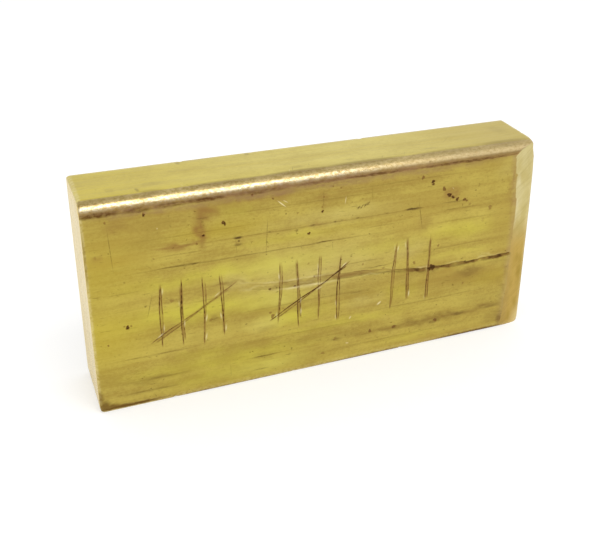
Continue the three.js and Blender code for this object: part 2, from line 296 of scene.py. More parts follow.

# Tarnish along the top of the rolled edge and on the top. The long rows over the roll's upper side are
# painted shade for the duller reflection from overhead; the small ones are stains. Centre along and
# across the bar, half length, half width, strength.
TOP_TARNISH_AND_SHADE = (
    (6.0, 2.2, 10.0, 1.0, 0.40), (15.6, 2.3, 4.0, 1.8, 0.50), (32.0, 2.3, 14.0, 1.1, 0.60),
    (50.0, 2.5, 12.0, 1.2, 0.75), (66.0, 2.7, 14.0, 1.2, 0.75), (88.0, 2.5, 14.0, 1.2, 0.50),
    (104.0, 2.8, 10.0, 1.8, 0.55), (13.2, 4.2, 0.5, 1.6, 0.60), (17.0, 6.8, 3.6, 1.6, 0.22),
    (7.8, 6.0, 1.4, 2.0, 0.20), (25.8, 17.6, 0.8, 1.4, 0.55), (42.6, 17.8, 0.8, 1.3, 0.50),
    (50.4, 5.0, 2.2, 1.2, 0.26), (63.4, 5.2, 1.8, 0.8, 0.24), (84.8, 5.2, 3.0, 0.8, 0.28),
    (30.0, 18.4, 8.0, 0.6, 0.40), (78.0, 18.6, 30.0, 0.6, 0.30), (108.0, 12.0, 3.0, 4.0, 0.16),
)

# Hairline scratches: from and to, each as two places on the face, half width, strength.
FRONT_SCRATCHES = (
    (5.3, 46.0, 6.0, 33.0, 0.15, 0.50), (41.2, 43.0, 40.5, 31.0, 0.17, 0.50),
    (79.4, 41.0, 81.2, 31.5, 0.18, 0.50), (33.4, 39.5, 33.7, 33.0, 0.14, 0.34),
    (66.8, 46.5, 67.4, 40.0, 0.13, 0.24), (14.2, 29.0, 12.1, 21.0, 0.17, 0.46),
    (54.8, 47.4, 54.6, 40.6, 0.16, 0.30), (100.2, 24.4, 93.0, 25.2, 0.14, 0.24),
    (31.2, 6.6, 31.4, 1.6, 0.14, 0.26), (57.0, 33.0, 57.4, 30.6, 0.14, 0.30),
    (63.3, 40.2, 64.0, 41.2, 0.22, 1.00), (64.0, 40.1, 65.0, 41.4, 0.22, 1.00),
    (64.9, 40.3, 65.8, 41.6, 0.22, 1.00), (65.6, 40.7, 66.7, 41.9, 0.20, 0.90),
)
TOP_SCRATCHES = (
    (24.4, 2.8, 23.2, 4.6, 0.12, 0.40), (48.2, 2.8, 49.4, 5.8, 0.14, 0.40),
    (53.0, 4.6, 53.6, 6.4, 0.12, 0.34), (70.6, 2.8, 72.0, 5.2, 0.12, 0.30),
    (76.2, 2.6, 78.4, 6.0, 0.12, 0.26), (34.2, 2.6, 34.6, 3.8, 0.12, 0.40),
    (9.0, 9.0, 12.0, 15.6, 0.12, 0.24), (88.0, 6.0, 96.0, 14.0, 0.10, 0.16),
)

# Bright rubs where the skin is broken, the same way.
FRONT_BRIGHT_SCRATCHES = (
    (43.2, 45.6, 45.8, 43.3, 0.18, 0.9), (44.6, 45.4, 46.2, 44.4, 0.14, 0.6),
    (60.4, 44.2, 60.1, 41.8, 0.16, 0.5), (69.3, 13.8, 70.8, 14.9, 0.34, 0.8),
    (61.9, 11.4, 62.6, 12.4, 0.30, 0.6), (61.0, 5.0, 62.2, 4.7, 0.28, 0.5),
    (15.8, 43.2, 16.2, 43.0, 0.24, 0.4), (88.6, 42.2, 89.2, 41.4, 0.12, 0.4),
)
TOP_BRIGHT_SCRATCHES = (
    (23.0, 3.0, 22.6, 4.0, 0.14, 0.5), (47.4, 2.6, 48.0, 4.4, 0.12, 0.5),
)

# The back: drawn lines as start, end, height, half width, strength, and stains as on the front.
BACK_LINES = (
    (3.0, 78.0, 41.6, 0.26, 0.40), (30.0, 109.0, 30.2, 0.24, 0.34), (2.0, 60.0, 17.8, 0.30, 0.40),
    (46.0, 110.0, 9.4, 0.34, 0.40), (12.0, 40.0, 25.0, 0.22, 0.50), (66.0, 92.0, 36.8, 0.26, 0.45),
)
BACK_STAINS = (
    (24.0, 47.0, 16.0, 1.4, 0.30), (88.0, 45.6, 13.0, 1.8, 0.26), (61.0, 25.0, 9.0, 3.0, 0.18),
    (12.0, 9.0, 6.0, 3.0, 0.26), (97.0, 14.0, 5.0, 4.0, 0.26), (44.0, 3.6, 24.0, 1.2, 0.28),
    (38.0, 34.0, 1.4, 6.0, 0.24), (74.0, 11.0, 4.0, 1.2, 0.30), (3.0, 28.0, 1.6, 9.0, 0.26),
)
BACK_SCRATCHES = (
    (20.0, 12.0, 43.0, 29.0, 0.16, 0.45), (52.0, 40.0, 70.0, 33.0, 0.14, 0.40),
    (84.0, 6.0, 91.0, 27.0, 0.15, 0.40), (60.0, 12.0, 63.0, 19.0, 0.18, 0.45),
)


# ---- Colour ----

def colour(code):
    """A six-digit screen colour as a linear one."""
    channels = [int(code[i:i + 2], 16) / 255 for i in (0, 2, 4)]
    linear = [c / 12.92 if c <= 0.04045 else ((c + 0.055) / 1.055) ** 2.4 for c in channels]
    return (*linear, 1.0)


# ---- The bar's shape ----

def middle(edge):
    return (edge.verts[0].co + edge.verts[1].co) / 2


def runs_along(edge, axis):
    span = edge.verts[1].co - edge.verts[0].co
    return abs(span[axis]) > 0.99 * span.length


def ease(bm, edges, radius, segments):
    bmesh.ops.bevel(
        bm, geom=edges, offset=radius, offset_type="OFFSET", segments=segments, profile=0.5,
        affect="EDGES", clamp_overlap=False, material=-1,
    )


def squared_blank():
    """The bar with its long edges and its end faces' edges eased."""
    bm = bmesh.new()
    bmesh.ops.create_cube(bm, size=1.0)
    bmesh.ops.translate(bm, verts=bm.verts, vec=(0.5, 0.5, 0.5))
    bmesh.ops.scale(bm, verts=bm.verts, vec=(BAR_LENGTH, BAR_THICKNESS, BAR_HEIGHT))
    long_edges = [edge for edge in bm.edges if runs_along(edge, 0)]
    rolled = [e for e in long_edges if middle(e).y < 0.1 and middle(e).z > BAR_HEIGHT - 0.1]
    ease(bm, rolled, ROLLED_EDGE_RADIUS, 18)
    sharp_corners = ((0, 0), (BAR_THICKNESS, 0), (BAR_THICKNESS, BAR_HEIGHT))
    arrises = [
        edge for edge in bm.edges
        if runs_along(edge, 0)
        and any(abs(middle(edge).y - y) < 0.1 and abs(middle(edge).z - z) < 0.1 for y, z in sharp_corners)
    ]
    ease(bm, arrises, LONG_ARRIS_RADIUS, 4)
    for end in (0.0, BAR_LENGTH):
        rims = [edge for edge in bm.edges if all(abs(vert.co.x - end) < 1e-4 for vert in edge.verts)]
        ease(bm, rims, UPRIGHT_ARRIS_RADIUS, 3)
    return bm


def score(bm, axis, places):
    """Cuts an edge loop right round the bar at each place along the axis."""
    normal = Vector((0, 0, 0))
    normal[axis] = 1.0
    for place in places:
        geometry = bm.verts[:] + bm.edges[:] + bm.faces[:]
        bmesh.ops.bisect_plane(bm, geom=geometry, dist=1e-4, plane_co=normal * place, plane_no=normal)


def even_places(low, high, spacing):
    count = max(1, round((high - low) / spacing))
    return [low + (high - low) * i / count for i in range(1, count)]


def score_grid(bm):
    """Nets the long faces, closer near the ends and along the felt rolling lines."""
    ends = [0.7, 1.2, 1.8, 2.4, 3.0]
    along = even_places(ends[-1], BAR_LENGTH - ends[-1], NET_SPACING)
    score(bm, 0, ends + along + [BAR_LENGTH - place for place in ends])
    heights = even_places(LONG_ARRIS_RADIUS, BAR_HEIGHT - ROLLED_EDGE_RADIUS, NET_ROW_HEIGHT)
    for _, _, height, _ in FELT_LINES:
        heights = [z for z in heights if abs(z - height) > 1.5 * FELT_LINE_HALF_WIDTH]
        heights += [height - FELT_LINE_HALF_WIDTH, height, height + FELT_LINE_HALF_WIDTH]
    score(bm, 2, heights)
    score(bm, 1, even_places(ROLLED_EDGE_RADIUS, BAR_THICKNESS - LONG_ARRIS_RADIUS, NET_SPACING))


def cut_finer(bm, wanted, cuts):
    """Divides the wanted edges, and the faces beside them."""
    edges = [edge for edge in bm.edges if wanted(edge)]
    bmesh.ops.subdivide_edges(bm, edges=edges, cuts=cuts, use_grid_fill=True)


def on_rolled_edge(edge):
    centre = middle(edge)
    return centre.y < ROLLED_EDGE_RADIUS + 0.01 and centre.z > BAR_HEIGHT - ROLLED_EDGE_RADIUS - 0.01


def on_sawn_end(edge):
    x = middle(edge).x
    return min(x, BAR_LENGTH - x) < 1e-3


# ---- Marks on the front face, as fields over points (x, z) ----

def smooth_step(low, high, value):
    share = np.clip((value - low) / (high - low), 0, 1)
    return share * share * (3 - 2 * share)


def stretch(along, start, full, fading, end):
    """1 over a stretch of the bar, which comes in and dies out smoothly."""
    return smooth_step(start, full, along) * smooth_step(end, fading, along)


def groove(offset, half_width):
    """The share of a V groove's depth at each offset from its bottom."""
    return np.clip(1 - np.abs(offset) / half_width, 0, 1)


def hump(offset, half_width):
    """1 at no offset, falling away like a bell."""
    return np.exp(-(offset / half_width) ** 2)


class Stroke:
    """One line scribed by hand in two passes, which part and cross along it."""

    half_reach = 1.15
    first_half_width = 0.21
    second_half_width = 0.19
    burr_distance = 0.66
    burr_height = 0.025

    def __init__(self, foot, head, chance):
        self.foot = np.array(foot)
        self.span = np.array(head) - self.foot
        self.length = float(np.hypot(*self.span))
        self.along = self.span / self.length
        self.phase = chance.uniform(0, 2 * math.pi)
        self.bow = chance.uniform(-0.28, 0.28)
        self.parting = chance.uniform(0.19, 0.31)
        self.depth = chance.uniform(0.10, 0.15)
        self.force = chance.uniform(0.64, 0.90)
        self.second_start = chance.uniform(-0.5, 3.5)
        self.second_end = self.length - chance.uniform(-0.3, 3.0)
        # Painted glints on the burrs: place along the stroke, side, strength.
        self.burr_glints = [
            (chance.uniform(0.5, self.length - 0.5), chance.choice((-1, 1)), chance.uniform(0.3, 1.1))
            for _ in range(2)
        ]

    def position(self, points):
        """How far along the stroke, and how far to its side, each point lies."""
        relative = points - self.foot
        along = relative @ self.along
        aside = relative @ np.array([-self.along[1], self.along[0]])
        wander = self.bow * (1 - (2 * along / self.length - 1) ** 2)
        wander += 0.05 * np.sin(self.phase + along * 0.45) + 0.025 * np.sin(2 * self.phase + along * 1.3)
        return along, aside - np.where(np.abs(2 * along / self.length - 1) < 1.2, wander, 0)

    def distance(self, points):
        along, aside = self.position(points)
        beyond = np.maximum(0, np.maximum(-along, along - self.length))
        return np.hypot(beyond, aside)

    def pressed(self, along, phase):
        """How hard the hand pressed, which comes and goes along the stroke."""
        slow = np.sin(phase + along * 0.41) * np.sin(1.7 * phase + along * 0.23)
        quick = np.sin(2.3 * phase + along * 2.9) * np.sin(phase + along * 1.7)
        return 0.78 + 0.22 * slow + 0.18 * quick

    def cut(self, points):
        """Depth below the face, burrs counting as less than none, how dirty it is, and how bright the
        painted glints on its burrs are.
        """
        along, aside = self.position(points)
        taper = smooth_step(-0.2, 1.6, along) * smooth_step(-0.3, 2.2, self.length - along)
        parting = self.parting * (0.55 + 0.75 * np.sin(1.7 * self.phase + along * 0.29))
        first = self.pressed(along, self.phase) * groove(aside - parting, self.first_half_width)
        again = smooth_step(-0.6, 0.8, along - self.second_start)
        again *= smooth_step(-0.6, 0.8, self.second_end - along)
        second = 0.8 * again * self.pressed(along, self.phase + 2.0)
        second = second * groove(aside + parting + 0.10, self.second_half_width)
        floor = (0.23 + 0.10 * math.sin(5 * self.phase)) * smooth_step(0.55, 0.3, np.abs(aside)) * again
        shape = np.maximum(np.maximum(first, second), floor)
        burr = hump(np.abs(aside) - self.burr_distance, 0.14) * self.pressed(along, self.phase * 3)
        # Painted highlights: bright glints along the burrs.
        burr_glints = sum(
            strength * hump(along - place, 0.7) * hump(aside - side * (0.5 + 0.1 * (along - place)), 0.13)
            for place, side, strength in self.burr_glints
        )
        depth = taper * (self.depth * shape - self.burr_height * burr)
        return depth, self.force * taper * np.clip(1.8 * shape, 0, 1), 0.9 * taper * burr_glints


def tally_strokes():
    chance = random.Random(11)
    strokes = []
    for start, count, crossed in TALLY_GROUPS:
        for i in range(count):
            foot = start + TALLY_GAP * i + chance.uniform(-0.7, 0.7)
            head = foot + chance.uniform(-0.9, 1.3)
            low = TALLY_FOOT + chance.uniform(-1.1, 1.3)
            high = TALLY_HEAD + chance.uniform(-1.4, 1.0)
            strokes.append(Stroke((foot, low), (head, high), chance))
        if crossed:
            end = start + TALLY_GAP * (count - 1)
            strokes.append(Stroke((start - 3.0, TALLY_FOOT + 2.6), (end + 3.4, TALLY_HEAD - 3.2), chance))
    return strokes


def seam_height(x):
    return np.interp(x, np.linspace(SEAM_START, BEVEL_INNER_EDGE, len(SEAM_HEIGHTS)), SEAM_HEIGHTS)


def seam_cut(points):
    """The seam's depth, how dirty it is, and how bright its lips are: rubbed metal with a painted highlight
    along them.
    """
    x, z = points.T
    aside = z - seam_height(x)
    for reach, quickness in SEAM_WAVERS:
        aside = aside - reach * np.sin(x * quickness)
    opened = smooth_step(SEAM_START, SEAM_START + OPENING_LENGTH, x)
    present = opened * smooth_step(-SEAM_END_LENGTH, 0.0, BEVEL_INNER_EDGE - x)
    closed = smooth_step(LAP_START - CLOSING_LENGTH, LAP_START, x)

    worn = smooth_step(*FOLD_ROUGHENS, x)
    half_fold = FOLD_HALF_WIDTH - FOLD_NARROWING * smooth_step(*FOLD_NARROWS, x)
    rim = 0.10 + 0.20 * worn
    lower_edge = smooth_step(-half_fold - rim, -half_fold + rim, aside)
    upper_edge = smooth_step(half_fold + 0.12, half_fold - 0.12, aside)
    inside = lower_edge * upper_edge
    fold = inside * (0.85 - 0.22 * np.clip(aside, -half_fold, half_fold))
    half_lap = LAP_HALF_WIDTH + 0.08 * np.sin(x * 0.55 + 1.2)
    half_lap = half_lap + 0.05 * np.sin(x * 1.7) + 0.02 * np.sin(x * 4.3)
    lap = groove(aside, np.where(aside > 0, half_lap, 1.6 * half_lap))
    depth = present * ((1 - closed) * FOLD_DEPTH * fold + closed * LAP_DEPTH * lap)

    upper_rim = hump(aside - half_fold, 0.13) * (0.34 + 0.24 * worn + 0.14 * np.sin(x * 0.7))
    lower_rim = hump(aside + half_fold, 0.15) * (0.18 + 0.10 * worn + 0.14 * np.sin(x * 0.5 + 2.0))
    streaks = 0.5 + 0.5 * np.sin(aside * 13 + 0.9 * np.sin(x * 0.4)) * np.sin(x * 0.31 + aside * 3)
    darkest = stretch(x, *FOLD_DARKEST)
    bed = (0.11 + 0.13 * worn + 0.14 * darkest + 0.14 * streaks) * inside
    fold_dirt = np.maximum(bed, np.maximum(upper_rim, lower_rim))
    ragged = 0.16 * np.sin(x * 0.8 + 0.6) + 0.06 * np.sin(x * 2.6 + np.sin(x))
    ragged += 0.12 * smooth_step(*LAP_DARKENS, x)
    lap_dirt = (0.58 + ragged) * smooth_step(0.0, 0.5, lap)
    dirt = present * np.maximum((1 - closed) * fold_dirt, closed * lap_dirt)

    # Painted highlights along the seam's lips, over rubbed metal.
    lips = 0.6 * stretch(x, *FOLD_LIP_RUBBED_AND_LIT) * hump(aside + half_fold + 0.45, 0.22)
    lips = np.maximum(lips, 0.3 * (1 - worn) * hump(aside - half_fold - 0.4, 0.2))
    lips = np.maximum(lips, 0.34 * closed * np.clip(np.sin(x * 0.7 + 1.0), 0, 1) * hump(aside - 0.7, 0.17))
    return depth, dirt, present * lips * (0.7 + 0.3 * np.sin(x * 1.1))


def pit_cut(points):
    """Pits are small bowls with a ragged rim."""
    depth = np.zeros(len(points))
    dirt = np.zeros(len(points))
    for x, z, radius, strength in PITS:
        radius *= PIT_SPREAD
        dx, dz = points[:, 0] - x, points[:, 1] - z
        angle = np.arctan2(dz, dx)
        ragged = 0.18 * np.sin(2 * angle + x * 7) + 0.13 * np.sin(3 * angle + z * 5)
        ragged = ragged + 0.08 * np.sin(5 * angle + x)
        share = np.clip(1 - (dx * dx + dz * dz) / (radius * (1 + ragged)) ** 2, 0, 1)
        depth = np.maximum(depth, PIT_DEPTH_SHARE * radius * share * strength)
        dirt = np.maximum(dirt, strength * smooth_step(0.0, 0.5, share))
    return depth, dirt, np.zeros(len(points))


def felt_line_depth(points):
    x, z = points.T
    depth = np.zeros(len(points))
    for start, end, height, deepest in FELT_LINES:
        present = smooth_step(0, FELT_LINE_FADE, x - start) * smooth_step(0, FELT_LINE_FADE, end - x)
        uneven = 0.6 + 0.4 * np.sin(x * 0.7 + height) * np.sin(x * 0.23)
        depth = np.maximum(depth, deepest * present * uneven * groove(z - height, FELT_LINE_HALF_WIDTH))
    return depth


def near_marks(points, strokes, margin):
    """Which points of the front face lie within the margin of a mark."""
    near = np.zeros(len(points), bool)
    for stroke in strokes:
        near |= stroke.distance(points) < Stroke.half_reach + margin
    x, z = points.T
    beside_seam = np.abs(z - seam_height(x)) < SEAM_HALF_REACH + margin
    near |= beside_seam & (x > SEAM_START) & (x < BEVEL_INNER_EDGE + margin)
    for px, pz, radius, _ in PITS:
        near |= (x - px) ** 2 + (z - pz) ** 2 < (radius * PIT_REACH * PIT_SPREAD + margin) ** 2
    return near


def near_dings(points, margin):
    near = np.zeros(len(points), bool)
    for place, radius, _ in DINGS:
        near |= np.linalg.norm(points - place, axis=1) < radius + margin
    return near


def bevel_excess(points):
    """How far each point (x, y, z) stands proud of the filed bevel, which the file left wavy and dug
    deeper at the upper corner."""
    x, y, z = points.T
    from_middle = 2 * z / BAR_HEIGHT - 1
    flare = np.where(from_middle > 0, BEVEL_UPPER_FLARE, BEVEL_LOWER_FLARE) * from_middle ** 2
    wave = 0.014 * (1 + np.sin(z * 0.31 + 0.6)) + 0.009 * (1 + np.sin(z * 0.83 + x * 0.3))
    across = np.clip((x - BEVEL_INNER_EDGE) / BEVEL_WIDTH, 0, 1)
    corner = BEVEL_CORNER_DEPTH * smooth_step(BEVEL_CORNER_START, BAR_HEIGHT, z) * across
    surface = -flare * math.sin(BEVEL_SLOPE) - wave - corner
    return (x - BEVEL_INNER_EDGE) * math.sin(BEVEL_SLOPE) - y * math.cos(BEVEL_SLOPE) - surface


def refine(bm, strokes):
    """Halves the edges near the marks, the dings and the bevel's inner edge, down to a fine net."""
    for length in NET_SIZES:
        edges = [edge for edge in bm.edges if edge.calc_length() > 0.52 * length]
        middles = np.array([middle(edge) for edge in edges])
        on_front = middles[:, 1] < 0.05
        flat = middles[:, [0, 2]]
        chosen = on_front & near_marks(flat, strokes, 0.6 * length)
        at_bevel = (np.abs(bevel_excess(middles)) < 0.12 * length + 0.04) & (flat[:, 0] > BEVEL_NET_START)
        chosen |= on_front & at_bevel
        chosen |= near_dings(middles, 0.3 * length)
        bmesh.ops.subdivide_edges(
            bm, edges=[edge for edge, pick in zip(edges, chosen) if pick], cuts=1, use_grid_fill=True,
        )


def coordinates(bm):
    return np.array([vert.co for vert in bm.verts])


def outward_directions(bm):
    bm.normal_update()
    return np.array([vert.normal for vert in bm.verts])


def move_to(bm, points):
    for vert, point in zip(bm.verts, points):
        vert.co = point


def keep_layer(bm, name, shares):
    layer = bm.verts.layers.float.new(name)
    for vert, share in zip(bm.verts, shares):
        vert[layer] = float(share)


def cut_marks(bm, strokes):
    """Sinks the marks into the front face. Leaves how dirty and how bright each point of them is in
    the grime and glint layers."""
    points = coordinates(bm)
    flat = points[:, [0, 2]]
    front = points[:, 1] < 0.3
    depth, grime, glint = pit_cut(flat)
    depth = np.maximum(depth, felt_line_depth(flat))
    for field in [seam_cut, *(stroke.cut for stroke in strokes)]:
        cut, dirt, bright = field(flat)
        depth = np.where(cut > depth, cut, np.where(depth > 0, depth, np.minimum(depth, cut)))
        grime = np.maximum(grime, dirt)
        glint = np.maximum(glint, bright)
    points[:, 1] += np.where(front, np.maximum(depth + BURR_ROOM, 0), 0)
    move_to(bm, points)
    keep_layer(bm, "grime", grime * front)
    keep_layer(bm, "glint", glint * front)


def noise_at(points, frequency):
    return np.array([noise.noise(Vector(point * frequency)) for point in points])


def wear_down(bm):
    """Sinks the skin a little in slow waves, the rolled edge in small dents, and the dings."""
    points = coordinates(bm)
    outwards = outward_directions(bm)
    outwards[:, 0] = 0
    wave_depth, wave_frequency = SKIN_WAVE
    waves = wave_depth * (1 + noise_at(points, wave_frequency))
    _, y, z = points.T
    rolled = smooth_step(ROLLED_EDGE_RADIUS + 0.6, ROLLED_EDGE_RADIUS - 0.4, y)
    rolled *= smooth_step(BAR_HEIGHT - ROLLED_EDGE_RADIUS - 0.6, BAR_HEIGHT - ROLLED_EDGE_RADIUS + 0.4, z)
    dents = sum(depth * (1 + noise_at(points, frequency)) for depth, frequency in DENTS)
    sunk = waves * smooth_step(0.3, 4.0, z) + rolled * dents
    moved = points - outwards * sunk[:, None]
    heart = np.array([BAR_LENGTH / 2, BAR_THICKNESS / 2, BAR_HEIGHT / 2])
    for place, radius, depth in DINGS:
        distance = np.linalg.norm(points - place, axis=1)
        share = np.clip(1 - (distance / radius) ** 2, 0, 1) ** 1.5
        inwards = np.sign(heart - place) * (np.abs(heart - place) > 0.98 * heart)
        moved += depth * share[:, None] * inwards / max(1.0, np.linalg.norm(inwards))
    move_to(bm, moved)


def saw_ends(bm):
    """Leaves the saw's ridges across both ends, always below the end's plane."""
    points = coordinates(bm)
    x, y, z = points.T
    for end, inwards, pitch, slant in SAW_CUTS:
        cut = np.abs(x - end) < 1e-3
        across = y + slant * z + 0.12 * np.sin(z * 0.13 + end)
        ridges = 0.5 + 0.5 * np.sin(across * 2 * math.pi / pitch)
        steps = 0.5 + 0.5 * np.sin(across * 1.9 + 0.6) * np.sin(across * 0.7 + 0.03 * z)
        edge = np.minimum(np.minimum(y, BAR_THICKNESS - y), np.minimum(z, BAR_HEIGHT - z))
        depth = (SAW_RIDGE * ridges + SAW_STEP * steps) * smooth_step(UPRIGHT_ARRIS_RADIUS, 1.0, edge)
        points[:, 0] += np.where(cut, inwards * depth, 0)
    move_to(bm, points)


def rub_cross_arrises(points):
    """Rounds the ends' upper and lower edges by drawing them in along the bar."""
    x, z = points[:, 0], points[:, 2]
    drawn = np.zeros(len(points))
    for radius, height in ((LOWER_CROSS_ARRIS_RADIUS, z), (UPPER_CROSS_ARRIS_RADIUS, BAR_HEIGHT - z)):
        into_round = np.clip(radius - height, 0, None)
        drawn += radius - np.sqrt(np.clip(radius ** 2 - into_round ** 2, 0, None))
    reach = 3.0
    points[:, 0] += drawn * np.clip(1 - x / reach, 0, 1)
    points[:, 0] -= drawn * np.clip(1 - (BAR_LENGTH - x) / reach, 0, 1)
    return points


def saw_out_of_true(points):
    """Slides each point along the bar by its share of the two ends' errors."""
    towards_right, towards_back, towards_top = (points / (BAR_LENGTH, BAR_THICKNESS, BAR_HEIGHT)).T
    left = LEFT_END_BACK_INSET * towards_back
    right = RIGHT_END_BACK_OVERHANG * towards_back - RIGHT_END_TOP_INSET * towards_top
    points[:, 0] += left + (right - left) * towards_right
    return points


def file_bevel(bm):
    """Presses what stands proud of the file's cut back onto it. Leaves the cut in the filed layer and
    the skin close beside it in another."""
    outwards = np.array([math.sin(BEVEL_SLOPE), -math.cos(BEVEL_SLOPE), 0])
    points = coordinates(bm)
    excess = bevel_excess(points)
    keep_layer(bm, "filed", smooth_step(-0.012, 0.004, excess))
    keep_layer(bm, "beside", smooth_step(-0.28, -0.02, excess))
    move_to(bm, points - np.clip(excess, 0, None)[:, None] * outwards)


def mark_rubbed_and_lit_edges(bm):
    """Leaves in a layer how close each point is to an edge that hands have worn; the paler colour it brings
    is partly a painted highlight along the arrises.
    """
    points = coordinates(bm)
    to_faces = np.minimum(points, np.array((BAR_LENGTH, BAR_THICKNESS, BAR_HEIGHT)) - points)
    to_edge = np.sort(to_faces, axis=1)[:, 1]
    keep_layer(bm, "rub_and_highlight", 1 - smooth_step(0.15, 0.8, to_edge))


def patches_over(places, rows, face_at, hard):
    """The densest of the soft oval patches at each place."""
    total = np.zeros(len(places))
    for x, z, half_length, half_height, strength in rows:
        shares = (places - (x, face_at, z)) / (half_length, FACE_DEPTH, half_height)
        total = np.maximum(total, strength * smooth_step(1.0, hard, np.linalg.norm(shares, axis=1)))
    return total


def stain_skin(bm):
    """Leaves the broad patches of the skin's colours in layers, with wandering outlines."""
    points = coordinates(bm)
    places = points.copy()
    for axis, reach in ((0, 1.6), (2, 0.9)):
        start = 30.0 * (axis + 1)
        swing = noise_at(points + start, 0.33) + 0.5 * noise_at(points - start, 0.8)
        places[:, axis] += reach * swing
    for name, rows in (("clean", CLEAN_PATCHES), ("dull", DULL_PATCHES), ("pale", PALE_AND_SHEEN_PATCHES)):
        keep_layer(bm, name, patches_over(places, rows, 0.0, 0.0))
    keep_layer(bm, "yellow", patches_over(points, YELLOW_PATCHES, 0.0, 0.0))
    front = patches_over(places, STAINS, 0.0, 0.3)
    keep_layer(bm, "stain", np.maximum(front, patches_over(places, BACK_STAINS, BAR_THICKNESS, 0.3)))


def finish_ends(bm):
    """Gives the sawn ends the second finish."""
    deepest = 4.0
    for face in bm.faces:
        x = face.calc_center_median().x
        if abs(face.normal.x) > 0.8 and (x < deepest or x > BAR_LENGTH - deepest):
            face.material_index = 1


def place_in_frame(bm):
    """Millimetres from the left front foot to metres in the row's frame."""
    bmesh.ops.translate(bm, verts=bm.verts, vec=(-LEFT_SHIFT, -BAR_THICKNESS / 2, 0))
    bmesh.ops.scale(bm, verts=bm.verts, vec=(MM, MM, MM))


def ingot_bar():
    strokes = tally_strokes()
    bm = squared_blank()
    score_grid(bm)
    cut_finer(bm, lambda edge: on_sawn_end(edge) and runs_along(edge, 1), 3)
    cut_finer(bm, lambda edge: on_rolled_edge(edge) and runs_along(edge, 0), 3)
    refine(bm, strokes)
    mark_rubbed_and_lit_edges(bm)
    wear_down(bm)
    saw_ends(bm)
    cut_marks(bm, strokes)
    move_to(bm, saw_out_of_true(rub_cross_arrises(coordinates(bm))))
    file_bevel(bm)
    bmesh.ops.triangulate(bm, faces=[face for face in bm.faces if len(face.verts) > 4])
    bmesh.ops.recalc_face_normals(bm, faces=bm.faces)
    finish_ends(bm)
    stain_skin(bm)
    place_in_frame(bm)
    for face in bm.faces:
        face.smooth = True
    mesh = bpy.data.meshes.new("ingot_bar")
    bm.to_mesh(mesh)
    bm.free()
    bar = bpy.data.objects.new("ingot_bar", mesh)
    bpy.context.scene.collection.objects.link(bar)
    return bar


# ---- Finishes ----

class Nodes:
    """A node tree that is built up value by value."""

    def __init__(self, tree):
        self.tree = tree

    def add(self, kind, **settings):
        node = self.tree.nodes.new("ShaderNode" + kind)
        for name, value in settings.items():
            setattr(node, name, value)
        return node

    def feed(self, socket, value):
        if isinstance(value, bpy.types.NodeSocket):
            self.tree.links.new(value, socket)
        else:
            socket.default_value = value

    def math(self, operation, *values):
        node = self.add("Math", operation=operation)
        for socket, value in zip(node.inputs, values):
            self.feed(socket, value)
        return node.outputs[0]

    def step(self, value, start, end, low=0.0, high=1.0):
        """Goes smoothly from low to high as the value goes from start to end."""
        node = self.add("MapRange", interpolation_type="SMOOTHSTEP")
        sockets = ("Value", "From Min", "From Max", "To Min", "To Max")
        for name, number in zip(sockets, (value, start, end, low, high)):
            self.feed(node.inputs[name], number)
        return node.outputs["Result"]

    def mix(self, kind, share, first, second):
        """A mix node has its own sockets for each kind of value."""
        low, high, result = {"RGBA": (6, 7, 2), "FLOAT": (2, 3, 0)}[kind]
        node = self.add("Mix", data_type=kind)
        self.feed(node.inputs["Factor"], share)
        self.feed(node.inputs[low], first)
        self.feed(node.inputs[high], second)
        return node.outputs[result]

    def blend(self, share, below, above):
        return self.mix("RGBA", share, below, above)

    def between(self, share, first, second):
        return self.mix("FLOAT", share, first, second)

    def densest(self, *shares):
        return functools.reduce(lambda total, share: self.math("MAXIMUM", total, share), shares)

    def times(self, *values):
        return functools.reduce(lambda total, value: self.math("MULTIPLY", total, value), values)


